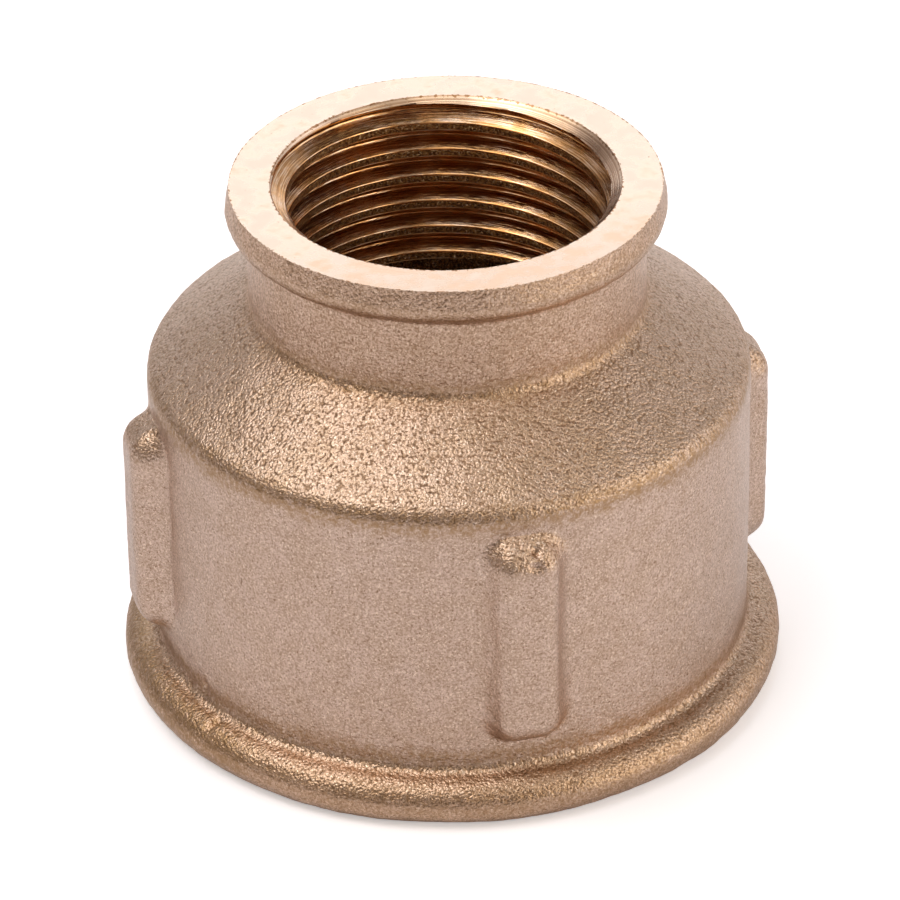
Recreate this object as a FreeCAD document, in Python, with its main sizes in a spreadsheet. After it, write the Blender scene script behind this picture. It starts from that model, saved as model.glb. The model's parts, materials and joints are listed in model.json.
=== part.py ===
"""Reducing coupling: a socket that joins a 1 inch to a 1/2 inch parallel pipe thread.

The real object is one bronze casting, faced at both ends and tapped from both ends, so the
model is one body. Its frame: the origin is the centre of the large end's face, +Z runs
along the bore towards the small end, and the four grip ribs lie on the X and Y axes.
Everything is in millimetres. All the round shapes share the bore's axis, so an outline
drawn on the XZ plane has the radius as its x and the height as its y.
"""
import FreeCAD, Part
import math
import os
import Sketcher

NODE = "coupling_body"

# Alias, size and meaning of every driving dimension. Radii are measured from the bore's
# axis and heights from the large end's face.
DIMENSIONS = [
    ("overall_height", 33.0, "large end face to small end face"),
    ("body_radius", 18.3, "plain cast wall around the large thread"),
    ("base_face_radius", 19.234, "outer edge of the machined large end face"),
    ("base_bead_radius", 20.35, "crown of the bead at the large end"),
    ("base_bead_crown", 1.45, "large end face up to that crown"),
    ("base_bead_bulge", 1.5, "radius of the bead's round profile"),
    ("base_bead_fillet", 0.5, "inner corner between that bead and the wall"),
    ("shoulder_height", 20.9, "where the plain wall would meet the cone"),
    ("shoulder_round", 1.2, "cast round between wall and cone"),
    ("neck_radius", 11.95, "cast neck around the small thread"),
    ("neck_height", 25.3, "where the cone would meet the neck"),
    ("neck_fillet", 0.8, "inner corner between cone and neck"),
    ("top_bead_height", 2.5, "bead at the small end, along the axis"),
    ("top_bead_radius", 13.2, "crown of the bead at the small end"),
    ("top_bead_crown", 1.05, "small end face down to that crown"),
    ("top_bead_bulge", 2.25, "radius of the bead's round profile"),
    ("top_bead_fillet", 0.4, "inner corner under that bead"),
    ("top_face_radius", 12.95, "outer edge of the machined small end face"),
    ("rib_count", 4, "grip ribs around the wall"),
    ("rib_radius", 19.9, "outer face of a rib"),
    ("rib_width", 3.8, "across a rib"),
    ("rib_depth", 1.8, "thickness of a rib, partly inside the wall"),
    ("rib_low", 5.05, "lower end of a rib, inside the wall"),
    ("rib_high", 19.2, "upper end of a rib, inside the wall"),
    ("rib_end_round", 1.9, "bend of a rib's ends into the wall"),
    ("rib_edge_round", 0.7, "round along a rib's long edges"),
    ("flank_angle", 27.5, "half of the thread's 55 degree angle, in degrees"),
    ("small_pitch", 1.8143, "14 threads to the inch"),
    ("small_major_radius", 10.4775, "root of the 1/2 inch female thread"),
    ("small_root_flat", 0.3, "width of that thread's groove at its root"),
    ("small_bore_radius", 9.555, "flat crest of the 1/2 inch female thread"),
    ("small_bore_depth", 11.0, "small end face to the end of its bore"),
    ("small_mouth_radius", 10.5, "outer edge of the lead-in chamfer"),
    ("small_thread_start", 20.96, "groove's height on the +X side, in the chamber"),
    ("small_thread_rise", 13.5, "start of that groove to its end above the face"),
    ("large_pitch", 2.3091, "11 threads to the inch"),
    ("large_major_radius", 16.6245, "root of the 1 inch female thread"),
    ("large_root_flat", 0.4, "width of that thread's groove at its root"),
    ("large_bore_radius", 15.45, "flat crest of the 1 inch female thread"),
    ("large_bore_depth", 18.2, "large end face to the end of its bore"),
    ("large_mouth_radius", 16.9, "outer edge of the lead-in chamfer"),
    ("large_thread_start", 1.6, "groove's depth below the face, on the +X side"),
    ("large_thread_rise", 16.2, "start of that groove to its end in the bore"),
    ("groove_overlap", 0.2, "how far a thread's cutter reaches into its bore"),
    ("chamber_radius", 13.6, "where the inner shoulder turns from round to cone"),
    ("chamber_height", 20.6, "height of that turn"),
    ("chamber_round", 2.482, "round between the large bore and the shoulder"),
    ("bore_sectors", 4, "equal sectors that the bores are cut in"),
    ("clear_of_face", 1.0, "how far a cutter starts outside an end face"),
    ("full_turn", 360.0, "angle of a full turn, in degrees"),
]
ALIASES = {alias for alias, size, meaning in DIMENSIONS}

# Sketcher names points by numbers: the start and end of a line or arc, and the origin of
# the sketch, which is the start of the geometry numbered -1.
START = 1
END = 2
SKETCH_ORIGIN = -1

doc = FreeCAD.newDocument("reducing_coupling")


def add_sheet():
    """The spreadsheet of driving dimensions: alias, size and meaning on each row."""
    sheet = doc.addObject("Spreadsheet::Sheet", "Dimensions")
    for row, (alias, size, meaning) in enumerate(DIMENSIONS, start=1):
        sheet.set("A%d" % row, alias)
        sheet.set("B%d" % row, str(size))
        sheet.set("C%d" % row, meaning)
        sheet.setAlias("B%d" % row, alias)
    doc.recompute()
    return sheet


def in_sheet(expression):
    """The expression, its words apart, with every alias named as a cell of the sheet."""
    words = expression.split()
    return " ".join("Dimensions." + word if word in ALIASES else word for word in words)


def size_of(expression):
    """The number that an expression of aliases stands for."""
    return float(sheet.evalExpression(in_sheet(expression)))


def drive(item, path, expression):
    """Bind a property or a constraint to the sheet."""
    item.setExpression(path, in_sheet(expression))


def origin_part(body, role):
    """One of a body's own origin planes or axes."""
    return [item for item in body.Origin.OriginFeatures if item.Role == role][0]


def add_sketch(body, name, plane="XZ_Plane"):
    """An empty sketch on an upright plane of the body, where its y is Z."""
    sketch = body.newObject("Sketcher::SketchObject", name)
    sketch.AttachmentSupport = (origin_part(body, plane), [""])
    sketch.MapMode = "FlatFace"
    sketch.Visibility = False
    return sketch


def middle_of_arc(start, end, radius):
    """The middle of the short arc that bulges to the right on the way from start to end."""
    way = end - start
    half = way.Length / 2
    rise = radius - math.sqrt(radius ** 2 - half ** 2)
    right = FreeCAD.Vector(way.y, -way.x, 0).normalize()
    return (start + end) * 0.5 + right * rise


def tips_of(sketch, index, start):
    """Which point of a line or arc is at start, then the other: arcs may run backwards."""
    if sketch.getPoint(index, START).isEqual(start, 1e-6):
        return START, END
    return END, START


def place_corner(sketch, index, point, corner):
    """Hold one corner at driven distances from the sketch's origin."""
    for kind, expression in zip(("DistanceX", "DistanceY"), corner):
        distance = Sketcher.Constraint(kind, SKETCH_ORIGIN, START, index, point,
                                       size_of(expression))
        number = sketch.addConstraint(distance)
        drive(sketch, "Constraints[%d]" % number, expression)


def outline(sketch, corners, arcs, closed=True):
    """Lines and arcs through corners, each an (x, y) pair of expressions.

    arcs holds the radius of each side that is an arc, by the number of the corner that it
    leaves. Every arc bulges to the right on the way round, and the other sides are lines.
    """
    points = [FreeCAD.Vector(size_of(x), size_of(y), 0) for x, y in corners]
    sides = len(corners) if closed else len(corners) - 1
    for index in range(sides):
        start = points[index]
        end = points[(index + 1) % len(points)]
        if index in arcs:
            middle = middle_of_arc(start, end, size_of(arcs[index]))
            sketch.addGeometry(Part.Arc(start, middle, end), False)
        else:
            sketch.addGeometry(Part.LineSegment(start, end), False)
    tips = [tips_of(sketch, index, points[index]) for index in range(sides)]
    for index in range(sides):
        place_corner(sketch, index, tips[index][0], corners[index])
    if not closed:
        place_corner(sketch, sides - 1, tips[-1][1], corners[-1])
    for index in range(sides if closed else sides - 1):
        following = (index + 1) % sides
        joined = Sketcher.Constraint("Coincident", index, tips[index][1],
                                     following, tips[following][0])
        sketch.addConstraint(joined)
    for index, radius in arcs.items():
        number = sketch.addConstraint(Sketcher.Constraint("Radius", index, size_of(radius)))
        drive(sketch, "Constraints[%d]" % number, radius)


def add_feature(body, kind, name, sketch):
    """A feature made from a sketch, with its faces left unmerged."""
    feature = body.newObject(kind, name)
    feature.Profile = sketch
    feature.Refine = False
    return feature


def around_axis(body, name, original, count):
    """Repeat a feature evenly around the bore's axis."""
    pattern = body.newObject("PartDesign::PolarPattern", name)
    pattern.Originals = [original]
    pattern.Axis = (origin_part(body, "Z_Axis"), [""])
    pattern.Refine = False
    drive(pattern, "Angle", "full_turn")
    drive(pattern, "Occurrences", count)
    body.Tip = pattern
    doc.recompute()
    return pattern


def round_ring(body, name, radius, height, fillet_radius):
    """Fillet the full ring of this radius and height on the body's present shape."""
    base = body.Tip
    ring_radius = size_of(radius)
    ring_height = size_of(height)
    picked = []
    for number, edge in enumerate(base.Shape.Edges, start=1):
        curve = edge.Curve
        if (isinstance(curve, Part.Circle) and abs(curve.Radius - ring_radius) < 1e-4
                and abs(curve.Center.z - ring_height) < 1e-4):
            picked.append("Edge%d" % number)
    fillet = body.newObject("PartDesign::Fillet", name)
    fillet.Base = (base, picked)
    fillet.Refine = False
    drive(fillet, "Radius", fillet_radius)
    doc.recompute()


def add_casting(body):
    """The outside of the casting, solid within: bead, wall, cone, neck and small bead."""
    above_base_bead = "base_bead_crown + base_bead_bulge"
    under_top_bead = "overall_height - top_bead_height"
    corners = [
        ("0", "0"),
        ("base_face_radius", "0"),
        ("base_bead_radius", "base_bead_crown"),
        ("base_bead_radius - base_bead_bulge", above_base_bead),
        ("body_radius", above_base_bead),
        ("body_radius", "shoulder_height"),
        ("neck_radius", "neck_height"),
        ("neck_radius", under_top_bead),
        ("top_bead_radius", "overall_height - top_bead_crown"),
        ("top_face_radius", "overall_height"),
        ("0", "overall_height"),
    ]
    arcs = {1: "base_bead_bulge", 2: "base_bead_bulge",
            7: "top_bead_bulge", 8: "top_bead_bulge"}
    sketch = add_sketch(body, "casting_outline")
    outline(sketch, corners, arcs)
    casting = add_feature(body, "PartDesign::Revolution", "casting", sketch)
    casting.ReferenceAxis = (sketch, ["V_Axis"])
    drive(casting, "Angle", "full_turn")
    doc.recompute()
    round_ring(body, "base_bead_corner", "body_radius", above_base_bead,
               "base_bead_fillet")
    round_ring(body, "shoulder_edge", "body_radius", "shoulder_height", "shoulder_round")
    round_ring(body, "neck_corner", "neck_radius", "neck_height", "neck_fillet")
    round_ring(body, "top_bead_corner", "neck_radius", under_top_bead, "top_bead_fillet")


def add_ribs(body):
    """Four grip ribs: a round-edged section swept up the wall, bent into it at both ends."""
    bend_radius = "rib_radius - rib_end_round"
    path = add_sketch(body, "rib_path")
    corners = [
        (bend_radius, "rib_low"),
        ("rib_radius", "rib_low + rib_end_round"),
        ("rib_radius", "rib_high - rib_end_round"),
        (bend_radius, "rib_high"),
    ]
    outline(path, corners, {0: "rib_end_round", 2: "rib_end_round"}, closed=False)

    section = add_sketch(body, "rib_section", "YZ_Plane")
    drive(section, "AttachmentOffset.Base.z", bend_radius)
    corners = [
        ("rib_width / -2", "rib_low + rib_edge_round"),
        ("rib_width / -2 + rib_edge_round", "rib_low"),
        ("rib_width / 2 - rib_edge_round", "rib_low"),
        ("rib_width / 2", "rib_low + rib_edge_round"),
        ("rib_width / 2", "rib_low + rib_depth"),
        ("rib_width / -2", "rib_low + rib_depth"),
    ]
    outline(section, corners, {0: "rib_edge_round", 2: "rib_edge_round"})
    rib = add_feature(body, "PartDesign::AdditivePipe", "rib", section)
    rib.Spine = path
    doc.recompute()
    around_axis(body, "ribs", rib, "rib_count")


def add_bores(body):
    """Both tapping bores, their lead-in chamfers and the cored shoulder between them.

    They are cut in equal sectors, so that no face of a thread's crest goes round more than
    a sector.
    """
    corners = [
        ("0", "- clear_of_face"),
        ("large_mouth_radius", "- clear_of_face"),
        ("large_mouth_radius", "0"),
        ("large_bore_radius", "large_mouth_radius - large_bore_radius"),
        ("large_bore_radius", "large_bore_depth"),
        ("chamber_radius", "chamber_height"),
        ("small_bore_radius", "overall_height - small_bore_depth"),
        ("small_bore_radius", "overall_height - small_mouth_radius + small_bore_radius"),
        ("small_mouth_radius", "overall_height"),
        ("small_mouth_radius", "overall_height + clear_of_face"),
        ("0", "overall_height + clear_of_face"),
    ]
    sketch = add_sketch(body, "bore_outline")
    outline(sketch, corners, {4: "chamber_round"})
    sector = add_feature(body, "PartDesign::Groove", "bore_sector", sketch)
    sector.ReferenceAxis = (sketch, ["V_Axis"])
    drive(sector, "Angle", "full_turn / bore_sectors")
    doc.recompute()
    around_axis(body, "bores", sector, "bore_sectors")


def add_thread(body, end, start):
    """The right-hand groove of one end's thread, as if cut by a tool of 55 degree section.

    start is the height of the groove's middle on the +X side, where the cut begins, and
    end names the dimensions to use: small or large.
    """
    half_root = end + "_root_flat / 2"
    inner_radius = end + "_bore_radius - groove_overlap"
    flank_run = "( %s_major_radius - %s_bore_radius + groove_overlap )" % (end, end)
    half_mouth = half_root + " + " + flank_run + " * tan( flank_angle * 1 deg )"
    corners = [
        (inner_radius, "%s - ( %s )" % (start, half_mouth)),
        (end + "_major_radius", "%s - %s" % (start, half_root)),
        (end + "_major_radius", "%s + %s" % (start, half_root)),
        (inner_radius, "%s + %s" % (start, half_mouth)),
    ]
    sketch = add_sketch(body, end + "_thread_section")
    outline(sketch, corners, {})
    thread = add_feature(body, "PartDesign::SubtractiveHelix", end + "_thread", sketch)
    thread.ReferenceAxis = (sketch, ["V_Axis"])
    thread.Mode = "pitch-height-angle"
    drive(thread, "Pitch", end + "_pitch")
    drive(thread, "Height", end + "_thread_rise")
    doc.recompute()


def step_volumes(body):
    """The volume after each feature, so that one that changed nothing is noticed."""
    solids = [item for item in body.Group if item.isDerivedFrom("PartDesign::Feature")]
    return [(item.Name, item.Shape.Volume) for item in solids]


def check_model(body):
    """Stop if an object failed, a feature did nothing or the finished solid isn't sound."""
    for item in doc.Objects:
        if "Invalid" in item.State or "Error" in item.State:
            raise RuntimeError("%s failed: %s" % (item.Name, item.State))
    volumes = step_volumes(body)
    for (earlier, before), (later, after) in zip(volumes, volumes[1:]):
        if abs(after - before) < 1e-3:
            raise RuntimeError("%s changed nothing after %s" % (later, earlier))
    if body.Shape.isNull() or not body.Shape.isValid() or len(body.Shape.Solids) != 1:
        raise RuntimeError("%s isn't one sound solid" % body.Label)


sheet = add_sheet()
body = doc.addObject("PartDesign::Body", NODE)
body.Label = NODE
add_casting(body)
add_ribs(body)
add_bores(body)
add_thread(body, "small", "small_thread_start")
add_thread(body, "large", "- large_thread_start")
body.Placement = FreeCAD.Placement()
doc.recompute()
check_model(body)
for name, volume in step_volumes(body):
    print("%-20s %10.2f mm3" % (name, volume))

os.makedirs("parts", exist_ok=True)
body.Shape.exportStep("parts/%s.step" % body.Label)
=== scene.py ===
"""The looks of a cast bronze reducing coupling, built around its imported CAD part.

The visual model is one closed mesh, as the real fitting is one casting: a sand-cast skin
with four grip ribs, a faced ring at each end, a cored inside and a thread cut into each
end. Shapes are worked out in millimetres and turned into metres when the mesh is made.
"""
import json
import math

import bpy
import numpy as np
from mathutils import Matrix, Vector


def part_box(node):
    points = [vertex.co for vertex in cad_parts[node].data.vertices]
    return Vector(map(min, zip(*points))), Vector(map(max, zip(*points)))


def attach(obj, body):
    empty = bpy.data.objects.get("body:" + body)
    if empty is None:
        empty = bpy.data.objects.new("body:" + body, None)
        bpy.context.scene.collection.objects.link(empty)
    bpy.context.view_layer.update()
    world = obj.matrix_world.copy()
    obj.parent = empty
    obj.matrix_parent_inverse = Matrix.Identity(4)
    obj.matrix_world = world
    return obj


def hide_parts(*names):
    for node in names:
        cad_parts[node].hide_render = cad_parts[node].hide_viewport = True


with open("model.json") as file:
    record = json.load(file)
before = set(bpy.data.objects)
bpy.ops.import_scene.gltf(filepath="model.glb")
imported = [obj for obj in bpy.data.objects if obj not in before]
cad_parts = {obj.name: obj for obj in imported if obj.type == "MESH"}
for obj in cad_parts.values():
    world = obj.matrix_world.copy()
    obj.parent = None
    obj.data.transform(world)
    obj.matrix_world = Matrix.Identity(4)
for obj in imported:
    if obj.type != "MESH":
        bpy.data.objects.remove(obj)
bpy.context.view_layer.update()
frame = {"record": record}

NODE = "coupling_body"
MM = 0.001                     # metres in a millimetre
TURN = 2 * math.pi
COARSE = 1

low_corner, high_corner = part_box(NODE)
HEIGHT = (high_corner.z - low_corner.z) / MM
CROWN = high_corner.x / MM     # the base bead is the widest part
MOUNTS = {mount["name"]: mount for mount in frame["record"]["mounts"]}
SMALL_BORE = MOUNTS["small_thread"]["dims"]["r_mm"]
LARGE_BORE = MOUNTS["large_thread"]["dims"]["r_mm"]

# The casting, in millimetres from the bore's axis and from the large end's face.
WALL = 18.3                    # radius of the plain wall
NECK = 11.95                   # radius of the neck
BEAD_ROUND = 1.5               # radius of the base bead's round profile
BEAD_CROWN = 1.45              # height of the base bead's crown
BEAD_FILLET = 0.65             # hollow between the base bead and the wall
TOP_FACE = 12.95               # outer edge of the faced small end
SHOULDER_LOW = 20.9            # height where the wall turns into the shoulder
SHOULDER_LOW_ROUND = 1.4
SHOULDER_HIGH = 25.3           # height where the shoulder meets the neck
SHOULDER_HIGH_ROUND = 0.9
TOP_BEAD_LOW = 30.35           # height where the neck meets the top bead
TOP_BEAD_LOW_ROUND = 0.5
TOP_BEAD_CORNER = (13.35, 31.0)  # radius and height of the top bead's corner
TOP_BEAD_CORNER_ROUND = 1.1
RIB_COUNT = 4
RIB_OUTER = 19.9               # distance from the axis to a rib's flat outer face
RIB_HALF_WIDTH = 1.9
RIB_LOW = 5.05                 # a rib's lower end
RIB_HIGH = 19.2                # a rib's upper end
RIB_END_ROUND = 1.9            # rounding of a rib's two ends
RIB_EDGE_ROUND = 1.15          # rounding of its long edges
RIB_EDGE_SLOPE = math.radians(60)  # steepest slope of a rib's long flanks
RIB_END_SLOPE = math.radians(76)   # steepest slope of its ends
RIB_FOOT_FILLET = 1.0          # hollow between a rib and the wall
RIB_SPREAD = 4                 # a rib's foot reaches no further aside than this
RIB_LOWEST = 3.9               # nor lower and higher than these heights
RIB_HIGHEST = 20.6
LEFT_RIB_PROUD = 0.15          # how much prouder the rib on the -X side stands
SMALL_MOUTH = 10.5             # outer edge of the small end's chamfer
LARGE_MOUTH = 16.9
SHOULDER_INSIDE = (13.6, 20.6)  # radius and height where the inner shoulder turns down
SMALL_BORE_END = HEIGHT - 11.0
SMALL_THREAD_RUN = 0.4         # how far the small thread runs into the inner shoulder
LARGE_BORE_END = 18.2
CHAMBER_ROUND = 2.482          # inner corner of the chamber above the large bore
FACED_DEPTH = 2                # the small end's chamfer lies within this of the face

# The threads. major is the radius at the groove's bottom, root_flat the width of the flat
# there, and the rounds are at the groove's bottom and on the crests. middle is the height
# of one groove's middle on the +X side. row_step is the spacing of the mesh's rows.
FLANK = math.radians(27.5)
SMALL_THREAD = {"pitch": 1.8143, "major": 10.4775, "root_flat": 0.32, "root_round": 0.2,
                "crest_round": 0.12, "middle": 20.96, "row_step": 0.13}
LARGE_THREAD = {"pitch": 2.3091, "major": 16.6245, "root_flat": 0.4, "root_round": 0.09,
                "crest_round": 0.05, "middle": -1.6, "row_step": 0.24}

BASE_FACE = CROWN - BEAD_ROUND + math.sqrt(BEAD_ROUND ** 2 - BEAD_CROWN ** 2)
LARGE_THREAD_END = 16.4        # height where the large thread's groove has run out
LARGE_THREAD_RUNOUT = 3.2      # height over which it gets shallower

# Brown bands on the skin, mostly painted light: painted shade under the shoulder's edge, in
# the corner at the neck's foot and on the base bead's left side, a painted reflection of
# the base bead at the wall's foot, and browner beads. Each band: height, half height,
# radius, half width, strength and the furthest x it reaches (bead at the left only, or
# all the way around).
ALL_ROUND = 99
BAND_WANDER = 2.4             # how far a band's height strays
BAND_FADE = 1.5               # distance over which a band fades at its furthest x
BAND_LUMP = 0.8               # size of the band's wandering
BAND_GRAIN = 0.3              # size of its ragged grain
STAIN_AND_SHADE_BANDS = [
    # painted shade under the shoulder's edge
    (20.35, 1.0, 18.2, 0.9, 0.95, ALL_ROUND),
    # painted reflection of the base bead at the wall's foot
    (3.9, 0.9, 18.4, 0.5, 0.8, ALL_ROUND),
    # painted shade in the corner at the neck's foot
    (25.7, 0.8, 12.3, 0.7, 0.7, ALL_ROUND),
    # browner top bead
    (31.0, 1.5, 13.1, 0.6, 0.4, ALL_ROUND),
    # browner crest of the base bead
    (1.5, 1.3, 20.2, 0.8, 0.5, ALL_ROUND),
    # painted shade on the base bead's left side
    (2.0, 3.2, 19.8, 1.3, 1.0, -15.5),
]

# The neck and the beads are more golden and more mottled than the metal between them.
# The change starts and is full at these distances in height from GOLDEN_MIDDLE.
GOLDEN_MIDDLE = 14.0
GOLDEN_FROM = (10.3, 11.8)
GOLDEN_MOTTLE = 0.6

# Blemishes in the skin: azimuth, height, radius, half sizes, depth.
BLEMISHES = [
    (-88.6, 18.75, 19.4, (0.5, 0.32), 0.4),
    (-89.2, 18.0, 19.9, (0.4, 0.28), 0.22),
    (-158.8, 4.0, 19.6, (0.28, 0.5), 0.25),
    (-155.3, 3.5, 20.1, (0.28, 0.5), 0.25),
    (-152.1, 2.9, 20.3, (0.28, 0.5), 0.25),
]

# The picture: angles in degrees about the fitting, lengths in millimetres.
CAMERA_AZIMUTH = -103.4
CAMERA_ELEVATION = 32.345
CAMERA_ROLL = -0.865
CAMERA_DISTANCE = 358.75
CAMERA_LENS = 234.56
AIM_HEIGHT = 14.03

# Soft panels around the fitting, in degrees: azimuth to the right of the camera,
# elevation, half width, half height; then brightness and tint. The rest is dim.
WHITE = (1.0, 1.0, 1.0)
WARM = (1.0, 0.93, 0.78)
COOL = (0.82, 1.0, 1.15)
PANEL_SOFTNESS = 6
STUDIO_SHADE = (0.06, 0.03, 0.02, 1)
PANELS = [
    (-115, 72, 65, 14, 1.9, WHITE),
    (0, 80, 40, 10, 1.6, WHITE),
    (-65, 64, 38, 10, 3.0, WHITE),
    (-65, 44, 38, 10, 1.5, WARM),
    (10, 64, 25, 10, 1.3, WARM),
    (60, 22, 16, 22, 2.4, WARM),
    (100, 20, 20, 20, 1.3, WHITE),
    (145, 20, 20, 18, 0.55, WHITE),
    (180, 24, 18, 14, 1.3, WHITE),
    (180, 5, 30, 6, 0.8, COOL),
    (180, 62, 30, 12, 1.1, COOL),
    (-145, 8, 15, 10, 0.55, WHITE),
    (-120, 45, 25, 16, 0.45, WHITE),
    (75, 60, 25, 12, 0.5, WARM),
]
FLOOR_LIFT = 0.4               # how much whiter the floor looks from the camera
FLOOR_REACH = 3.0              # half the floor's side, in metres
FLOOR_GAP = 0.02               # the floor lies this far below the fitting

# Face zones, in the order of the mesh's materials.
SKIN, FACED, CUT, CORED = range(4)

# The mesh: spacing of its points in millimetres.
OUTSIDE_STEP = 0.16 * COARSE
CHAMBER_STEP = 0.35 * COARSE
RING_STEP = 0.3
COLUMNS = 720 // COARSE        # upright lines of points around the axis
RIB_CROWDING = 0.1             # how much closer together these stand at the ribs
SNAP_SHARE = 0.3               # share of a thread row within which a level cut takes it
WELDS_PER_MM = 2000            # points nearer than one such step become one
STRIP_GAP = 0.6                # gap between two surfaces in the unrolled layout
SHARP_ANGLE = 34               # edges sharper than this many degrees are drawn crisp

# Waviness of the cast skin, coarse to fine: size of the lumps and how far they stand out.
WAVINESS = [(6.0, 0.05), (1.7, 0.028), (0.62, 0.018), (0.3, 0.012)]
FIRST_SEED = 11
NOISE_VALUES = 4096
NOISE_FACTORS = (73856093, 19349663, 83492791)

# Grain of the surfaces in millimetres: sizes of their lumps, and how deep they are.
SKIN_LUMP = 0.21
SKIN_SMALL_LUMP = 0.13
SKIN_GRAIN = 0.16
SKIN_RELIEF = 0.045
SKIN_WARP = 0.2                # size of the noise that bends the lumps
SKIN_WARP_REACH = 0.06         # and how far it bends them
SKIN_PATCH = 1.8
BRIGHT_SIZE = 0.13
PIT_SIZE = 0.15
RING_WIDTH = 0.09              # tool marks on a faced ring
FACED_RELIEF = 0.004
SCUFF_SIZE = 1.3
NICK_SIZE = 0.3
DARK_EDGE_REACH = (0.16, 0.03)       # nick marks and painted edge shade start and are full this near to an edge
FRONT_SHADE_Y = (-3.0, -12.0)         # painted shade: the small end's face gets duller from here to here, towards the camera
FRONT_SHADE_SHARE = 0.2
STREAK_WIDTH = 0.075           # streaks along a thread's groove
STREAK_RELIEF = 0.02
STREAK_DRIFT = 2.5             # size of the noise that bends the streaks
STREAK_DRIFT_REACH = 0.1
TARNISH_SIZE = 1.6
CORED_GRAIN = 0.14
CORED_RELIEF = 0.16
SPARKLE_SIZE = 0.12

# Colours of the metal, in linear light.
WALL_DULL = (0.62, 0.46, 0.36, 1)
WALL_CLEAN = (0.685, 0.52, 0.43, 1)
SHOULDER_DULL = (0.64, 0.45, 0.32, 1)
SHOULDER_CLEAN = (0.70, 0.50, 0.38, 1)
SHADED_GRAIN = (0.34, 0.22, 0.14, 1)
GOLDEN_TINT = (1.01, 0.965, 0.90, 1)
NO_TINT = (1, 1, 1, 1)
BRIGHT_GRAIN = (0.82, 0.66, 0.54, 1)
# Painted shade for the creases between the skin's lumps.
CREASE_SHADE = (0.36, 0.23, 0.145, 1)
PIT = (0.30, 0.19, 0.12, 1)
# Brown of the bands: painted shade and a painted reflection, and browner beads.
BROWN_STAIN_AND_SHADE = (0.38, 0.235, 0.12, 1)
FACED_DULL = (0.85, 0.61, 0.455, 1)
FACED_CLEAN = (0.95, 0.78, 0.645, 1)
RING_DARK = (0.62, 0.39, 0.25, 1)
RING_LIGHT = (0.94, 0.71, 0.54, 1)
# Dark nick marks, and painted shade along the edges of the small end's face.
NICK_AND_EDGE_SHADE = (0.42, 0.23, 0.12, 1)
THREAD_DULL = (0.84, 0.47, 0.21, 1)
THREAD_CLEAN = (0.90, 0.66, 0.48, 1)
THREAD_STREAK = (0.50, 0.25, 0.09, 1)
CORED_DARK = (0.12, 0.05, 0.018, 1)
CORED_LIGHT = (0.42, 0.20, 0.065, 1)
CORED_SPARKLE = (0.96, 0.70, 0.44, 1)
PAPER_WHITE = (1, 1, 1, 1)
FLOOR_GREY = (0.94, 0.92, 0.96, 1)


# ---------------------------------------------------------------- outlines

def rounded_outline(corners, step):
    """Points along a polyline of (radius, height, round), with each corner rounded off."""
    points = [np.array(corners[0][:2])]
    for before, here, after in zip(corners, corners[1:], corners[2:]):
        corner = np.array(here[:2])
        back = np.array(before[:2]) - corner
        onward = np.array(after[:2]) - corner
        back /= np.linalg.norm(back)
        onward /= np.linalg.norm(onward)
        inside = math.acos(float(np.clip(back @ onward, -1, 1)))
        cut = here[2] / math.tan(inside / 2)
        bisector = (back + onward) / np.linalg.norm(back + onward)
        centre = corner + bisector * here[2] / math.sin(inside / 2)
        add_line(points, corner + back * cut, step)
        add_arc(points, corner + onward * cut, centre, step)
    add_line(points, np.array(corners[-1][:2]), step)
    return np.array(points)


def add_line(points, end, step):
    """Carry a list of points on in a straight line."""
    start = points[-1]
    count = max(1, round(np.linalg.norm(end - start) / step))
    points.extend(start + (end - start) * k / count for k in range(1, count + 1))


def add_arc(points, end, centre, step):
    """Carry a list of points on along the short arc about centre."""
    first = points[-1] - centre
    last = end - centre
    radius = np.linalg.norm(first)
    start_angle = math.atan2(first[1], first[0])
    sweep = math.atan2(last[1], last[0]) - start_angle
    sweep = (sweep + math.pi) % TURN - math.pi
    count = max(3, round(abs(sweep) * radius / step))
    for k in range(1, count):
        angle = start_angle + sweep * k / count
        points.append(centre + radius * np.array([math.cos(angle), math.sin(angle)]))
    points.append(end)


def casting_outline():
    """The outside, from the base face's edge up to the top face's edge."""
    bead = np.array([CROWN - BEAD_ROUND, BEAD_CROWN])
    hollow_radius = WALL + BEAD_FILLET
    rise = math.sqrt((BEAD_ROUND + BEAD_FILLET) ** 2 - (hollow_radius - bead[0]) ** 2)
    hollow = bead + [hollow_radius - bead[0], rise]
    meeting = bead + (hollow - bead) * BEAD_ROUND / (BEAD_ROUND + BEAD_FILLET)
    points = [np.array([BASE_FACE, 0.0])]
    add_arc(points, bead + [BEAD_ROUND, 0], bead, OUTSIDE_STEP)
    add_arc(points, meeting, bead, OUTSIDE_STEP)
    add_arc(points, np.array([WALL, hollow[1]]), hollow, OUTSIDE_STEP)
    corners = [
        (WALL, hollow[1], 0),
        (WALL, SHOULDER_LOW, SHOULDER_LOW_ROUND),
        (NECK, SHOULDER_HIGH, SHOULDER_HIGH_ROUND),
        (NECK, TOP_BEAD_LOW, TOP_BEAD_LOW_ROUND),
        (*TOP_BEAD_CORNER, TOP_BEAD_CORNER_ROUND),
        (TOP_FACE, HEIGHT, 0),
    ]
    points.extend(rounded_outline(corners, OUTSIDE_STEP)[1:])
    return np.array(points)


def chamber_outline(high_ring):
    """The cored inside, from the small thread's lower end down to the large bore."""
    points = [np.array(high_ring)]
    add_line(points, np.array(SHOULDER_INSIDE), CHAMBER_STEP)
    end = np.array([LARGE_BORE, LARGE_BORE_END])
    add_arc(points, end, end - [CHAMBER_ROUND, 0], CHAMBER_STEP)
    return np.array(points)


def flat_ring(from_radius, to_radius, height):
    """A level ring's outline."""
    points = [np.array([from_radius, height])]
    add_line(points, np.array([to_radius, height]), RING_STEP)
    return np.array(points)


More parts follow.
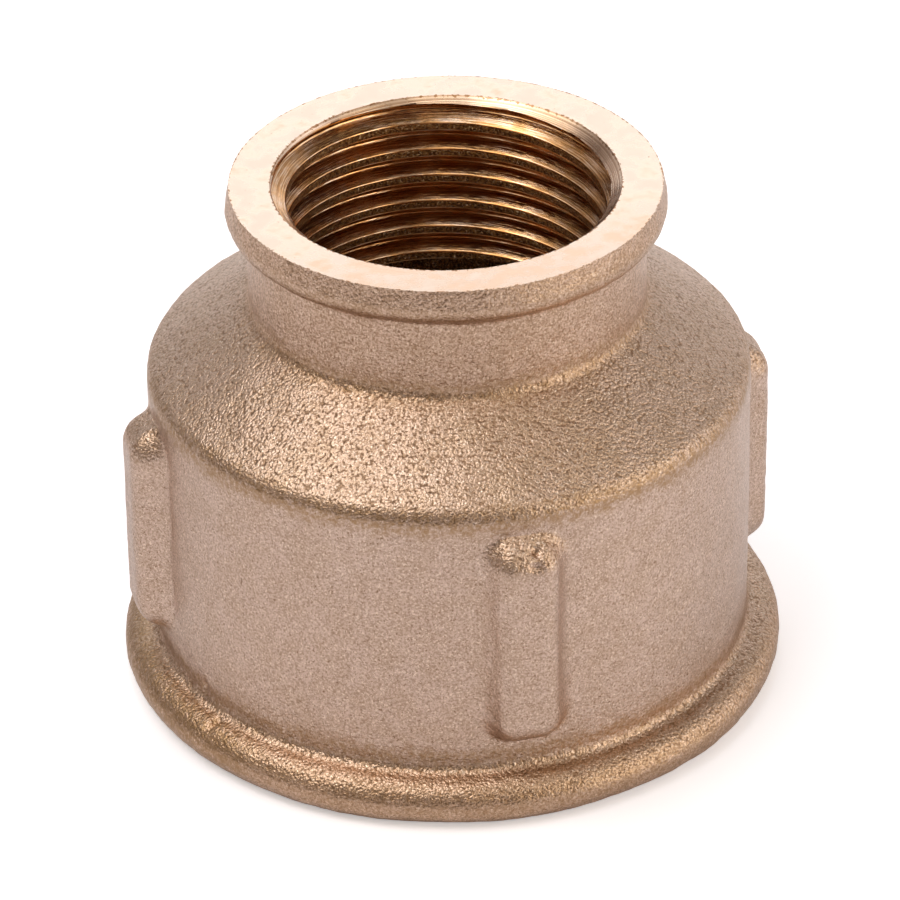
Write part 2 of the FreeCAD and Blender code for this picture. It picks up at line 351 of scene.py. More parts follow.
def thread_rows(thread, bore):
    """One pitch of a thread as rows of (height, radius), and which rows are crest."""
    depth = thread["major"] - bore
    half_root = thread["root_flat"] / 2
    half_mouth = half_root + depth * math.tan(FLANK)
    half_pitch = thread["pitch"] / 2
    step = thread["row_step"] * COARSE
    crest_round = thread["crest_round"]
    root_round = thread["root_round"]
    corners = [
        (bore, -half_pitch, 0),
        (bore, -half_mouth, crest_round),
        (thread["major"], -half_root, root_round),
        (thread["major"], half_root, root_round),
        (bore, half_mouth, crest_round),
        (bore, half_pitch, 0),
    ]
    outline = rounded_outline(corners, step)[:-1]
    # Most of the crest's rounding was cut with the groove.
    crest = np.abs(outline[:, 1]) > half_mouth + crest_round * 0.3
    return outline[:, 1], outline[:, 0], crest


# ---------------------------------------------------------------- grids

def column_angles():
    """Where the mesh's upright lines stand around the axis, closer together at the ribs."""
    even = np.arange(COLUMNS) * TURN / COLUMNS
    return even - RIB_CROWDING * np.sin(even * RIB_COUNT)


ANGLES = column_angles()


class Skin:
    """Grids of points and faces that are welded into one closed mesh at the end."""

    def __init__(self):
        self.points = []
        self.quads = []
        self.zones = []
        self.cast = []
        self.uvs = []
        self.count = 0
        self.unrolled = 0.0

    def add(self, points, quads, zones, cast, lengths):
        """Keep one grid. points is (rows, columns, 3) and quads is (faces, 4) into it.

        lengths gives how far each row is along the outline, for the unrolled layout.
        """
        rows, columns = points.shape[:2]
        self.points.append(points.reshape(-1, 3))
        self.quads.append(quads.reshape(-1, 4) + self.count)
        self.zones.append(zones.ravel())
        self.cast.append(np.full(rows * columns, cast))
        self.uvs.append(self.unroll(lengths, columns))
        self.count += rows * columns
        self.unrolled += lengths[-1] + STRIP_GAP

    def unroll(self, lengths, columns):
        """Where each face's corners lie when the grid is laid flat, in turns and in mm."""
        low = self.unrolled + lengths[:-1]
        high = self.unrolled + lengths[1:]
        left = np.arange(columns) / columns
        right = left + 1 / columns
        across = np.stack([left, right, right, left], -1)
        up = np.stack([low, low, high, high], -1)
        shape = (len(low), columns, 4)
        across = np.broadcast_to(across[None, :, :], shape)
        up = np.broadcast_to(up[:, None, :], shape)
        return np.stack([across, up], -1).reshape(-1, 4, 2)

    def add_turned(self, outline, zone, cast=0.0):
        """A surface of revolution, from an outline that keeps the metal on its left."""
        rows = len(outline)
        columns = len(ANGLES)
        radius = outline[:, 0][:, None]
        height = np.repeat(outline[:, 1][:, None], columns, axis=1)
        points = np.stack([radius * np.cos(ANGLES), radius * np.sin(ANGLES), height], -1)
        index = np.arange(rows * columns).reshape(rows, columns)
        following = np.roll(index, -1, axis=1)
        quads = np.stack([index[:-1], following[:-1], following[1:], index[1:]], -1)
        lengths = np.linalg.norm(np.diff(outline, axis=0), axis=1)
        lengths = np.concatenate([[0], np.cumsum(lengths)])
        self.add(points, quads, np.full((rows - 1) * columns, zone), cast, lengths)

    def add_thread(self, thread, bore, low, high, opened_to, depth_left):
        """A thread whose rows follow its helix, cut off level at heights low and high.

        opened_to(z) is the radius that a chamfer or shoulder opens the bore to, and
        depth_left(z) is how deep the groove still is there, from 1 to 0.
        """
        row_height, row_radius, on_crest = thread_rows(thread, bore)
        per_turn = len(row_height)
        pitch = thread["pitch"]
        first = math.floor((low - thread["middle"]) / pitch) - 2
        last = math.ceil((high - thread["middle"]) / pitch) + 1
        turns = np.arange(first, last)
        start = (turns[:, None] * pitch + row_height[None, :]).ravel() + thread["middle"]
        # Rows run from the high end to the low end, so that the metal stays on their left.
        start = start[::-1]
        radius = np.tile(row_radius, len(turns))[::-1]
        crest = np.tile(on_crest, len(turns))[::-1]
        rows = len(start)
        columns = len(ANGLES)
        height = start[:, None] + pitch * ANGLES[None, :] / TURN
        # A point that lies this near to a level cut is put on it.
        snap = pitch / per_turn * SNAP_SHARE
        height = np.where(np.abs(height - high) < snap, high, height)
        height = np.where(np.abs(height - low) < snap, low, height)
        height = np.clip(height, low, high)
        groove = bore + (radius[:, None] - bore) * depth_left(height)
        opened = opened_to(height)
        reach = np.maximum(groove, opened)
        points = np.stack([reach * np.cos(ANGLES), reach * np.sin(ANGLES), height], -1)
        index = np.arange(rows * columns).reshape(rows, columns)
        seam = np.maximum(np.arange(rows) - per_turn, 0) * columns
        following = np.concatenate([index[:, 1:], seam[:, None]], axis=1)
        quads = np.stack([index[:-1], following[:-1], following[1:], index[1:]], -1)
        as_cast = crest[:-1] & crest[1:]
        uncut = depth_left(height[:-1]) <= 0
        zones = np.where(as_cast[:, None] | uncut, CORED, CUT)
        cone = opened > groove + 1e-6
        near_face = height[:-1] > high - FACED_DEPTH
        zones = np.where(cone[:-1] & cone[1:] & near_face, FACED, zones)
        lengths = np.hypot(np.diff(start), np.diff(radius))
        lengths = np.concatenate([[0], np.cumsum(lengths)])
        lengths *= (high - low) / (start[0] - start[-1])
        self.add(points, quads, zones, 0.0, lengths)

    def welded(self):
        """Points, faces grouped by their corners, and how much each point is cast skin."""
        points = np.concatenate(self.points)
        quads = np.concatenate(self.quads)
        zones = np.concatenate(self.zones)
        cast = np.concatenate(self.cast)
        uvs = np.concatenate(self.uvs) / [1, self.unrolled]
        keys = np.round(points * WELDS_PER_MM).astype(np.int64)
        kept, first, inverse = np.unique(keys, axis=0, return_index=True,
                                         return_inverse=True)
        inverse = inverse.reshape(-1)
        quads = inverse[quads]
        most_cast = np.zeros(len(kept))
        np.maximum.at(most_cast, inverse, cast)
        same = quads == np.roll(quads, -1, axis=1)
        corners = 4 - same.sum(axis=1)
        faces = []
        for count in (4, 3):
            chosen = corners == count
            keep = ~same[chosen]
            faces.append((quads[chosen][keep].reshape(-1, count), zones[chosen],
                          uvs[chosen][keep].reshape(-1, count, 2)))
        return points[first], faces, most_cast


# ---------------------------------------------------------------- unevenness

def lattice_noise(points, size, seed):
    """Smooth noise from -1 to 1 with lumps of about this size, the same on every run."""
    table = np.random.RandomState(seed).uniform(-1, 1, NOISE_VALUES)
    scaled = points / size
    cell = np.floor(scaled).astype(np.int64)
    part = scaled - cell
    part = part * part * part * (part * (part * 6 - 15) + 10)
    total = np.zeros(len(points))
    for dx in (0, 1):
        for dy in (0, 1):
            for dz in (0, 1):
                across = (cell[:, 0] + dx) * NOISE_FACTORS[0]
                along = (cell[:, 1] + dy) * NOISE_FACTORS[1]
                upward = (cell[:, 2] + dz) * NOISE_FACTORS[2]
                corner = table[(across ^ along ^ upward) % NOISE_VALUES]
                share = np.where(dx, part[:, 0], 1 - part[:, 0])
                share = share * np.where(dy, part[:, 1], 1 - part[:, 1])
                share = share * np.where(dz, part[:, 2], 1 - part[:, 2])
                total += corner * share
    return total


def smooth_top(first, second, width):
    """The larger of two heights, with a fillet of about this width where they meet."""
    gap = np.clip(0.5 + 0.5 * (first - second) / width, 0, 1)
    return second + (first - second) * gap + width * gap * (1 - gap)


def rib_rise(points):
    """How far each point of the plain wall is pushed out to make the ribs."""
    angle = np.arctan2(points[:, 1], points[:, 0])
    spacing = TURN / RIB_COUNT
    off_centre = (angle + spacing / 2) % spacing - spacing / 2
    aside = np.abs(np.sin(off_centre)) * WALL
    height = points[:, 2]
    proud = np.where(points[:, 0] < -WALL / 2, LEFT_RIB_PROUD, 0)
    outer = (RIB_OUTER + proud) / np.cos(off_centre) - WALL
    # How far each point is into the rounded long edge and the rounded end, as shares.
    middle = (RIB_HIGH + RIB_LOW) / 2
    half_length = (RIB_HIGH - RIB_LOW) / 2
    over_edge = np.clip(aside - (RIB_HALF_WIDTH - RIB_EDGE_ROUND), 0, None)
    over_end = np.clip(np.abs(height - middle) - (half_length - RIB_END_ROUND), 0, None)
    edge_share = over_edge / RIB_EDGE_ROUND
    end_share = over_end / RIB_END_ROUND
    reach = np.hypot(edge_share, end_share)
    weight = np.where(reach > 0, edge_share ** 2 / np.maximum(reach, 1e-9) ** 2, 0)
    rounding = RIB_EDGE_ROUND * weight + RIB_END_ROUND * (1 - weight)
    slope = RIB_EDGE_SLOPE * weight + RIB_END_SLOPE * (1 - weight)
    # The rounding goes on until it is as steep as the flank, and the flank is straight.
    rounded = np.minimum(reach, np.sin(slope))
    drop = 1 - np.sqrt(1 - rounded ** 2) + (reach - rounded) * np.tan(slope)
    rise = smooth_top(outer - drop * rounding, np.zeros(len(points)), RIB_FOOT_FILLET)
    on_wall = (height > RIB_LOWEST) & (height < RIB_HIGHEST)
    return np.where(on_wall & (aside < RIB_SPREAD), rise, 0)


def dent(points, azimuth, height, radius, size, depth):
    """A small hollow in the skin: how far each point near the place is pushed in."""
    angle = math.radians(azimuth)
    place = np.array([radius * math.cos(angle), radius * math.sin(angle), height])
    along = np.array([-math.sin(angle), math.cos(angle), 0])
    away = points - place
    sideways = away @ along / size[0]
    upward = away[:, 2] / size[1]
    distance = np.sqrt(sideways ** 2 + upward ** 2)
    near = np.linalg.norm(away, axis=1) < 3 * max(size)
    return np.where(near, depth * np.exp(-distance ** 2 * 2), 0)


def unevenness(points):
    """How far the cast skin stands out from its true shape, in millimetres."""
    total = np.zeros(len(points))
    for seed, (size, reach) in enumerate(WAVINESS, FIRST_SEED):
        total += lattice_noise(points, size, seed) * reach
    return total


# ---------------------------------------------------------------- the mesh

def build_coupling():
    """The whole fitting as one closed skin: points, faces and cast weights."""
    skin = Skin()
    skin.add_turned(casting_outline(), SKIN, 1.0)
    skin.add_turned(flat_ring(TOP_FACE, SMALL_MOUTH, HEIGHT), FACED)
    slope = (SHOULDER_INSIDE[0] - SMALL_BORE) / (SMALL_BORE_END - SHOULDER_INSIDE[1])

    def small_opened_to(z):
        chamfer = SMALL_MOUTH - (HEIGHT - z)
        shoulder = SMALL_BORE + (SMALL_BORE_END - z) * slope
        return np.maximum(chamfer, shoulder)

    def whole_depth(z):
        return np.ones_like(z)

    low = SMALL_BORE_END - SMALL_THREAD_RUN
    skin.add_thread(SMALL_THREAD, SMALL_BORE, low, HEIGHT, small_opened_to, whole_depth)
    skin.add_turned(chamber_outline((float(small_opened_to(low)), low)), CORED)

    def large_opened_to(z):
        return LARGE_MOUTH - z

    def large_depth_left(z):
        return np.clip((LARGE_THREAD_END - z) / LARGE_THREAD_RUNOUT, 0, 1)

    skin.add_thread(LARGE_THREAD, LARGE_BORE, 0.0, LARGE_BORE_END, large_opened_to,
                    large_depth_left)
    skin.add_turned(flat_ring(LARGE_MOUTH, BASE_FACE, 0.0), FACED)
    return skin.welded()


def make_mesh(name, points, faces):
    """A mesh from points in millimetres and faces grouped by their number of corners."""
    mesh = bpy.data.meshes.new(name)
    mesh.vertices.add(len(points))
    mesh.vertices.foreach_set("co", (points * MM).astype(np.float32).ravel())
    loops = np.concatenate([corners.ravel() for corners, zones, uvs in faces])
    sizes = np.concatenate([np.full(len(corners), corners.shape[1])
                            for corners, zones, uvs in faces])
    zones = np.concatenate([zones for corners, zones, uvs in faces])
    places = np.concatenate([uvs.reshape(-1, 2) for corners, zones, uvs in faces])
    starts = np.concatenate([[0], np.cumsum(sizes)[:-1]])
    mesh.loops.add(len(loops))
    mesh.loops.foreach_set("vertex_index", loops.astype(np.int32))
    mesh.polygons.add(len(sizes))
    mesh.polygons.foreach_set("loop_start", starts.astype(np.int32))
    mesh.polygons.foreach_set("material_index", zones.astype(np.int32))
    mesh.update(calc_edges=True)
    layout = mesh.uv_layers.new(name="OFBake")
    layout.uv.foreach_set("vector", places.astype(np.float32).ravel())
    mesh.validate()
    return mesh


def vertex_normals(mesh):
    """The mesh's smooth normals as an array."""
    normals = np.zeros(len(mesh.vertices) * 3, np.float32)
    mesh.vertex_normals.foreach_get("vector", normals)
    return normals.reshape(-1, 3).astype(float)


def shape_skin(points, faces, cast):
    """Raise the ribs, then make the cast skin uneven along its own normals."""
    radius = np.maximum(np.hypot(points[:, 0], points[:, 1]), 1e-6)
    outward = points * [1, 1, 0] / radius[:, None]
    points = points + outward * (rib_rise(points) * (cast > 0))[:, None]
    draft = make_mesh("draft", points, faces)
    normals = vertex_normals(draft)
    bpy.data.meshes.remove(draft)
    push = unevenness(points)
    for blemish in BLEMISHES:
        push -= dent(points, *blemish)
    # The edges of the faced rings stay level: there the skin only wanders sideways.
    level = np.minimum(points[:, 2], HEIGHT - points[:, 2]) < 1e-3
    normals[level, 2] = 0
    points = points + normals * (push * cast)[:, None]
    points[:, 2] = np.clip(points[:, 2], 0, HEIGHT)
    return points


def add_coupling():
    """The fitting as one object with a material for each kind of surface."""
    points, faces, cast = build_coupling()
    points = shape_skin(points, faces, cast)
    mesh = make_mesh("coupling", points, faces)
    for material in (cast_skin(), faced_metal(), cut_thread(), cored_metal()):
        mesh.materials.append(material)
    mesh.shade_smooth()
    mesh.set_sharp_from_angle(angle=math.radians(SHARP_ANGLE))
    coupling = bpy.data.objects.new("coupling", mesh)
    bpy.context.scene.collection.objects.link(coupling)
    return coupling


# ---------------------------------------------------------------- materials

class Nodes:
    """A short way to write a material's node tree."""

    def __init__(self, tree):
        self.tree = tree

    def add(self, kind, inputs=None, **settings):
        """A node with its settings, and its inputs linked or set."""
        node = self.tree.nodes.new(kind)
        for name, value in settings.items():
            setattr(node, name, value)
        for name, value in (inputs or {}).items():
            if isinstance(value, bpy.types.NodeSocket):
                self.tree.links.new(value, node.inputs[name])
            else:
                node.inputs[name].default_value = value
        return node

    def math(self, operation, *values):
        """One arithmetic step."""
        node = self.add("ShaderNodeMath", dict(enumerate(values)), operation=operation)
        return node.outputs[0]

    def vector(self, operation, *values):
        """One arithmetic step on vectors."""
        node = self.add("ShaderNodeVectorMath", dict(enumerate(values)),
                        operation=operation)
        if operation in ("DOT_PRODUCT", "LENGTH"):
            return node.outputs["Value"]
        return node.outputs["Vector"]

    def ramp(self, value, low, high, to_low=0.0, to_high=1.0):
        """A smooth step from to_low to to_high as value goes from low to high."""
        inputs = {"Value": value, "From Min": low, "From Max": high,
                  "To Min": to_low, "To Max": to_high}
        node = self.add("ShaderNodeMapRange", inputs, interpolation_type="SMOOTHSTEP")
        return node.outputs["Result"]

    def noise(self, place, size, detail, roughness):
        """Noise from 0 to 1 with lumps of about this size in millimetres."""
        inputs = {"Vector": place, "Scale": 1 / size, "Detail": detail,
                  "Roughness": roughness}
        return self.add("ShaderNodeTexNoise", inputs).outputs["Fac"]

    def cells(self, place, size):
        """Distance to the nearest of scattered points this far apart in millimetres."""
        inputs = {"Vector": place, "Scale": 1 / size}
        return self.add("ShaderNodeTexVoronoi", inputs).outputs["Distance"]

    def mix(self, share, first, second):
        """A colour between two colours."""
        node = self.add("ShaderNodeMix", data_type="RGBA")
        for socket, value in ((0, share), (6, first), (7, second)):
            if isinstance(value, bpy.types.NodeSocket):
                self.tree.links.new(value, node.inputs[socket])
            else:
                node.inputs[socket].default_value = value
        return node.outputs[2]

    def from_axis(self, place):
        """Distance from the bore's axis."""
        return self.vector("LENGTH", self.vector("MULTIPLY", place, (1.0, 1.0, 0.0)))

    def facing_up(self):
        """1 where the surface is level, 0 where it is upright, -1 where it faces down."""
        normal = self.add("ShaderNodeTexCoord").outputs["Normal"]
        return self.add("ShaderNodeSeparateXYZ", {0: normal}).outputs[2]

    def bump(self, height, distance):
        """A normal from a height between 0 and 1, distance being in millimetres."""
        inputs = {"Height": height, "Distance": distance * MM}
        return self.add("ShaderNodeBump", inputs).outputs["Normal"]


def new_metal(name):
    """An empty metal material: its nodes, its shader, and places in millimetres."""
    material = bpy.data.materials.new(name)
    material.use_nodes = True
    nodes = Nodes(material.node_tree)
    shader = material.node_tree.nodes["Principled BSDF"]
    shader.inputs["Metallic"].default_value = 1.0
    place = nodes.add("ShaderNodeTexCoord").outputs["Object"]
    place = nodes.vector("MULTIPLY", place, (1 / MM, 1 / MM, 1 / MM))
    return material, nodes, shader, place


def connect(nodes, shader, **outputs):
    """Link outputs to the shader's inputs, with _ for a space in their names."""
    for name, socket in outputs.items():
        nodes.tree.links.new(socket, shader.inputs[name.replace("_", " ")])


def cast_skin():
    """Sand-cast bronze: small lumps with thin creases between them, and a finer grain.

    The lumps are tallest on the shoulder and the beads' upper sides; the upright walls
    are smoother, with a fine mottle and a sprinkling of tiny dark pits. The creases
    between the lumps are darkened with painted shade.
    """
    material, nodes, shader, place = new_metal("cast_skin")
    up = nodes.facing_up()
    lumpiness = nodes.ramp(up, 0.1, 0.5, 0.5, 1.0)
    warp = nodes.add("ShaderNodeTexNoise", {"Vector": place, "Scale": 1 / SKIN_WARP,
                                            "Detail": 2.0})
    warped = nodes.vector("SUBTRACT", warp.outputs["Color"], (0.5, 0.5, 0.5))
    warped = nodes.vector("MULTIPLY_ADD", warped, (SKIN_WARP_REACH,) * 3, place)
    lumps = nodes.math("POWER", nodes.cells(warped, SKIN_LUMP), 2.0)
    small_lumps = nodes.math("POWER", nodes.cells(warped, SKIN_SMALL_LUMP), 2.0)
    grain = nodes.noise(place, SKIN_GRAIN, 3.0, 0.75)
    height = nodes.math("MULTIPLY_ADD", small_lumps, 0.55, lumps)
    height = nodes.math("MULTIPLY", height, lumpiness)
    height = nodes.math("MULTIPLY_ADD", grain, 0.6, nodes.math("SUBTRACT", 0.8, height))
    rough = nodes.bump(height, SKIN_RELIEF)
    patches = nodes.noise(place, SKIN_PATCH, 4.0, 0.65)
    on_shoulder = nodes.ramp(up, 0.0, 0.5)
    dull = nodes.mix(on_shoulder, WALL_DULL, SHOULDER_DULL)
    clean = nodes.mix(on_shoulder, WALL_CLEAN, SHOULDER_CLEAN)
    tone = nodes.mix(nodes.ramp(patches, 0.35, 0.65), dull, clean)
    mottle = nodes.ramp(grain, 0.38, 0.60)
    golden = golden_share(nodes, place)
    kept = nodes.ramp(up, 0.2, 0.6, 0.35, 0.5)
    paler = nodes.math("MULTIPLY_ADD", golden, -GOLDEN_MOTTLE, 1.0)
    darkest = nodes.mix(nodes.math("MULTIPLY", kept, paler), SHADED_GRAIN, tone)
    tone = nodes.mix(mottle, darkest, tone)
    bright = nodes.ramp(nodes.noise(place, BRIGHT_SIZE, 2.0, 0.6), 0.56, 0.66)
    tone = nodes.mix(bright, tone, BRIGHT_GRAIN)
    # Painted shade: the creases between the lumps are darkened in place of their
    # self-shadowing.
    crease_shade = nodes.ramp(height, 0.2, 0.65)
    tone = nodes.mix(crease_shade, CREASE_SHADE, tone)
    pits = nodes.ramp(nodes.noise(place, PIT_SIZE, 1.0, 0.5), 0.66, 0.72)
    tone = nodes.mix(pits, tone, PIT)
    tint = nodes.mix(golden, NO_TINT, GOLDEN_TINT)
    tone = nodes.vector("MULTIPLY", tone, tint)
    # Brown bands: painted shade and a painted reflection on the skin, and browner beads.
    tone = nodes.mix(stain_and_shade_share(nodes, place), tone, BROWN_STAIN_AND_SHADE)
    roughness = nodes.ramp(height, 0.4, 1.2, 0.42, 0.27)
    connect(nodes, shader, Base_Color=tone, Roughness=roughness, Normal=rough)
    return material


def golden_share(nodes, place):
    """1 on the neck and the beads, where the skin is more golden and more mottled."""
    height = nodes.add("ShaderNodeSeparateXYZ", {0: place}).outputs[2]
    from_middle = nodes.math("ABSOLUTE", nodes.math("SUBTRACT", height, GOLDEN_MIDDLE))
    return nodes.ramp(from_middle, *GOLDEN_FROM)


def stain_and_shade_share(nodes, place):
    """Share of brown bands: painted shade below the shoulder's edge and in the corners,
    browner beads.
    """
    parts = nodes.add("ShaderNodeSeparateXYZ", {0: place}).outputs
    wander = nodes.math("SUBTRACT", nodes.noise(place, BAND_LUMP, 4.0, 0.7), 0.5)
    height = nodes.math("MULTIPLY_ADD", wander, BAND_WANDER, parts[2])
    radius = nodes.from_axis(place)
    total = 0.0
    for level, half_height, place_radius, half_width, strength, furthest_x in STAIN_AND_SHADE_BANDS:
        above = nodes.math("ABSOLUTE", nodes.math("SUBTRACT", height, level))
        aside = nodes.math("ABSOLUTE", nodes.math("SUBTRACT", radius, place_radius))
        band = nodes.ramp(above, half_height, half_height * 0.1, 0.0, strength)
        ring = nodes.ramp(aside, half_width, half_width * 0.5)
        share = nodes.math("MULTIPLY", band, ring)
        within = nodes.ramp(parts[0], furthest_x + BAND_FADE, furthest_x - BAND_FADE)
        share = nodes.math("MULTIPLY", share, within)
        total = nodes.math("MAXIMUM", share, total)
    ragged = nodes.ramp(nodes.noise(place, BAND_GRAIN, 4.0, 0.75), 0.36, 0.6, 0.1, 0.95)
    return nodes.math("MULTIPLY", total, ragged)


def faced_metal():
    """Bright metal left by facing in a lathe: fine rings, scuffs, a few dark nick marks,
    and painted shade at the face's edges.

    The chamfer shows the rings most. The small end's face is duller towards -Y, the
    camera's side: painted shade.
    """
    material, nodes, shader, place = new_metal("faced_metal")
    up = nodes.facing_up()
    radius = nodes.from_axis(place)
    on_chamfer = nodes.ramp(nodes.math("ABSOLUTE", up), 0.97, 0.9)
    ring_place = nodes.add("ShaderNodeCombineXYZ", {0: radius}).outputs[0]
    rings = nodes.noise(ring_place, RING_WIDTH, 2.0, 0.6)
    scuffs = nodes.noise(place, SCUFF_SIZE, 3.0, 0.5)
    along = nodes.add("ShaderNodeSeparateXYZ", {0: place}).outputs[1]
    # Painted shade: the face is duller towards -Y, the camera's side.
    front_shade = nodes.ramp(along, *FRONT_SHADE_Y, 0.0, FRONT_SHADE_SHARE)
    bare = nodes.ramp(nodes.math("SUBTRACT", scuffs, front_shade), 0.18, 0.5)
    tone = nodes.mix(bare, FACED_DULL, FACED_CLEAN)
    ring_tone = nodes.mix(nodes.ramp(rings, 0.42, 0.58), RING_DARK, RING_LIGHT)
    tone = nodes.mix(on_chamfer, tone, ring_tone)
    # Painted shade along the small end's face edges, mixed in with the dark nick marks.
    edges = 0.0
    for edge in (TOP_FACE, SMALL_MOUTH):
        apart = nodes.math("ABSOLUTE", nodes.math("SUBTRACT", radius, edge))
        edges = nodes.math("MAXIMUM", nodes.ramp(apart, *DARK_EDGE_REACH), edges)
    scattered = nodes.noise(place, NICK_SIZE, 3.0, 0.65)
    nicks_and_edge_shade = nodes.math("MULTIPLY_ADD", edges, 0.2, scattered)
    tone = nodes.mix(nodes.ramp(nicks_and_edge_shade, 0.68, 0.76), tone, NICK_AND_EDGE_SHADE)
    roughness = nodes.ramp(scuffs, 0.3, 0.7, 0.20, 0.32)
    depth = nodes.math("MULTIPLY_ADD", on_chamfer, 4.0, 1.0)
    turned = nodes.bump(nodes.math("MULTIPLY", rings, depth), FACED_RELIEF)
    connect(nodes, shader, Base_Color=tone, Roughness=roughness, Normal=turned)
    return material


def cut_thread():
    """Metal cut by a tap: polished, with fine streaks along the groove."""
    material, nodes, shader, place = new_metal("cut_thread")
    parts = nodes.add("ShaderNodeSeparateXYZ", {0: place})
    radius = nodes.from_axis(place)
    angle = nodes.math("ARCTAN2", parts.outputs[1], parts.outputs[0])
    drift = nodes.noise(place, STREAK_DRIFT, 2.0, 0.5)
    streak_place = nodes.add("ShaderNodeCombineXYZ", {
        0: nodes.math("MULTIPLY", angle, 0.25),
        1: nodes.math("MULTIPLY_ADD", drift, STREAK_DRIFT_REACH, radius),
    }).outputs[0]
    streaks = nodes.noise(streak_place, STREAK_WIDTH, 3.0, 0.65)
    tarnish = nodes.noise(place, TARNISH_SIZE, 3.0, 0.6)
    tone = nodes.mix(nodes.ramp(tarnish, 0.35, 0.65), THREAD_DULL, THREAD_CLEAN)
    tone = nodes.mix(nodes.ramp(streaks, 0.40, 0.60), THREAD_STREAK, tone)
    roughness = nodes.ramp(streaks, 0.3, 0.7, 0.10, 0.20)
    brushed = nodes.bump(streaks, STREAK_RELIEF)
    connect(nodes, shader, Base_Color=tone, Roughness=roughness, Normal=brushed)
    return material


def cored_metal():
    """The inside as the sand core left it: dark and grainy, with a few bright grains."""
    material, nodes, shader, place = new_metal("cored_metal")
    grain = nodes.noise(place, CORED_GRAIN, 3.0, 0.7)
    tone = nodes.mix(nodes.ramp(grain, 0.42, 0.62), CORED_DARK, CORED_LIGHT)
    sparkle = nodes.ramp(nodes.noise(place, SPARKLE_SIZE, 1.0, 0.5), 0.60, 0.67)
    tone = nodes.mix(sparkle, tone, CORED_SPARKLE)
    roughness = nodes.ramp(sparkle, 0.0, 1.0, 0.48, 0.22)
    rough = nodes.bump(grain, CORED_RELIEF)
    connect(nodes, shader, Base_Color=tone, Roughness=roughness, Normal=rough)
    return material


# ---------------------------------------------------------------- studio

def view_axes():
    """Level unit vectors towards the right of the picture and towards the camera."""
    angle = math.radians(CAMERA_AZIMUTH)
    to_camera = Vector((math.cos(angle), math.sin(angle), 0))
    to_right = Vector((-math.sin(angle), math.cos(angle), 0))
    return to_right, to_camera


def add_camera():
    """The camera, looking at a point on the axis from its azimuth and elevation."""
    to_right, to_camera = view_axes()
    rise = math.radians(CAMERA_ELEVATION)
    away = to_camera * math.cos(rise) + Vector((0, 0, math.sin(rise)))
    aim = Vector((0, 0, AIM_HEIGHT * MM))
    up = away.cross(to_right)
    roll = math.radians(CAMERA_ROLL)
    right = to_right * math.cos(roll) + up * math.sin(roll)
    up = away.cross(right)
    camera = bpy.data.objects.new("camera", bpy.data.cameras.new("camera"))
    turn = Matrix((right, up, away)).transposed().to_4x4()
    camera.matrix_world = Matrix.Translation(aim + away * CAMERA_DISTANCE * MM) @ turn
    camera.data.sensor_width = 36.0
    camera.data.lens = CAMERA_LENS
    camera.data.clip_start = 0.01
    camera.data.clip_end = 20.0
    bpy.context.scene.collection.objects.link(camera)
    bpy.context.scene.camera = camera


def panel_share(nodes, level, up, azimuth, elevation, half_width, half_height):
    """How much of a soft panel lies in a direction, from 0 to 1."""
    low = elevation - half_height
    share = soft_edge(nodes, up, math.sin, low, 1)
    if elevation + half_height < 90:
        high = soft_edge(nodes, up, math.sin, elevation + half_height, -1)
        share = nodes.math("MULTIPLY", share, high)
    angle = math.radians(CAMERA_AZIMUTH + azimuth)
    middle = (math.cos(angle), math.sin(angle), 0.0)
    across = nodes.vector("DOT_PRODUCT", level, middle)
    beside = soft_edge(nodes, across, math.cos, half_width, -1)
    return nodes.math("MULTIPLY", share, beside)


def soft_edge(nodes, value, measure, edge, side):
    """A step from 0 to 1 on one side of an angle, spread over the panels' softness."""
    outside = measure(math.radians(edge - side * PANEL_SOFTNESS))
    inside = measure(math.radians(edge + side * PANEL_SOFTNESS))
    return nodes.ramp(value, outside, inside)


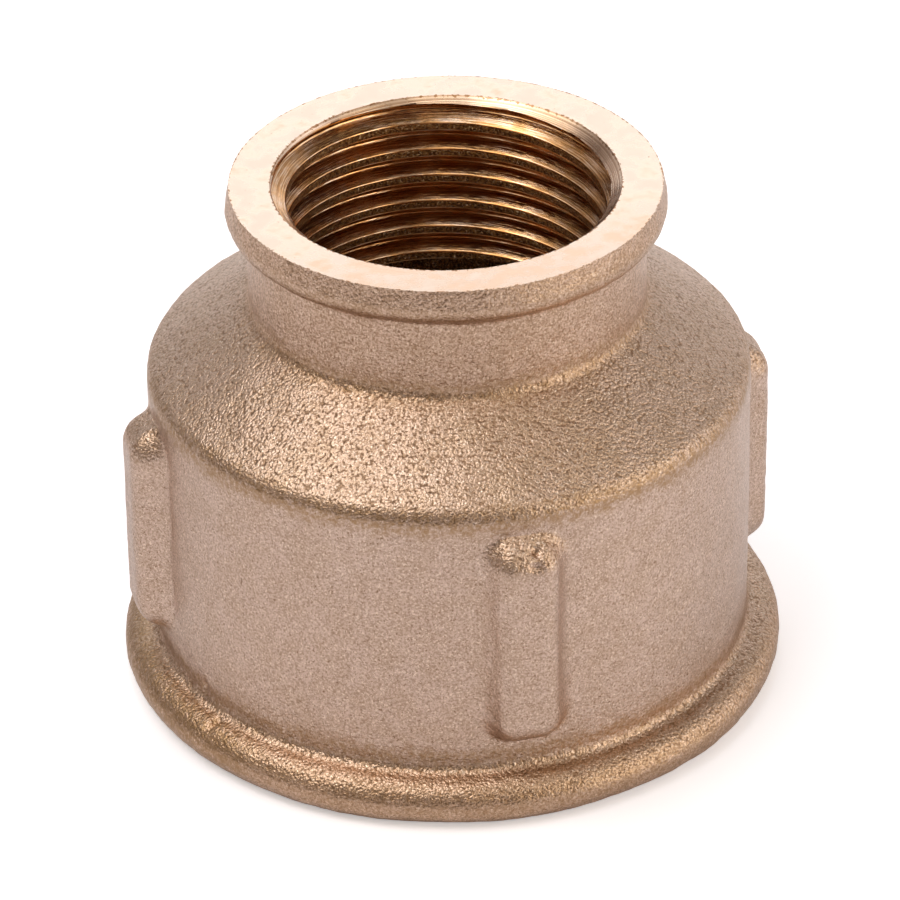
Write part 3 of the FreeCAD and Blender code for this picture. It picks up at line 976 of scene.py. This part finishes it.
def add_surroundings():
    """A dim studio with soft panels beside, above and behind the fitting."""
    world = bpy.data.worlds.new("studio")
    bpy.context.scene.world = world
    world.use_nodes = True
    nodes = Nodes(world.node_tree)
    looking = nodes.add("ShaderNodeTexCoord").outputs["Generated"]
    level = nodes.vector("NORMALIZE", nodes.vector("MULTIPLY", looking, (1.0, 1.0, 0.0)))
    up = nodes.add("ShaderNodeSeparateXYZ", {0: looking}).outputs[2]
    light = nodes.add("ShaderNodeRGB").outputs[0]
    light.default_value = STUDIO_SHADE
    for azimuth, elevation, half_width, half_height, strength, tint in PANELS:
        share = panel_share(nodes, level, up, azimuth, elevation, half_width, half_height)
        glow = nodes.vector("SCALE", tint)
        nodes.tree.links.new(nodes.math("MULTIPLY", share, strength),
                             glow.node.inputs["Scale"])
        light = nodes.vector("ADD", light, glow)
    seen = nodes.add("ShaderNodeLightPath").outputs["Is Camera Ray"]
    shown = nodes.mix(seen, light, PAPER_WHITE)
    background = world.node_tree.nodes["Background"]
    world.node_tree.links.new(shown, background.inputs["Color"])
    background.inputs["Strength"].default_value = 1.0


def add_floor():
    """A plain pale floor that ends far outside the picture."""
    mesh = bpy.data.meshes.new("floor")
    ways = [(-1, -1), (1, -1), (1, 1), (-1, 1)]
    corners = [(across * FLOOR_REACH, along * FLOOR_REACH, 0) for across, along in ways]
    mesh.from_pydata(corners, [], [(0, 1, 2, 3)])
    floor = bpy.data.objects.new("floor", mesh)
    floor.location.z = -FLOOR_GAP * MM
    material = bpy.data.materials.new("floor")
    material.use_nodes = True
    shader = material.node_tree.nodes["Principled BSDF"]
    shader.inputs["Base Color"].default_value = FLOOR_GREY
    shader.inputs["Roughness"].default_value = 0.8
    shader.inputs["Emission Color"].default_value = PAPER_WHITE
    nodes = Nodes(material.node_tree)
    seen = nodes.add("ShaderNodeLightPath").outputs["Is Camera Ray"]
    glow = nodes.math("MULTIPLY", seen, FLOOR_LIFT)
    connect(nodes, shader, Emission_Strength=glow)
    mesh.materials.append(material)
    bpy.context.scene.collection.objects.link(floor)
    return floor


# ---------------------------------------------------------------- everything

coupling = add_coupling()
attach(coupling, "root")
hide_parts(NODE)
floor = add_floor()
add_surroundings()
add_camera()
bpy.context.scene.view_settings.view_transform = "Standard"
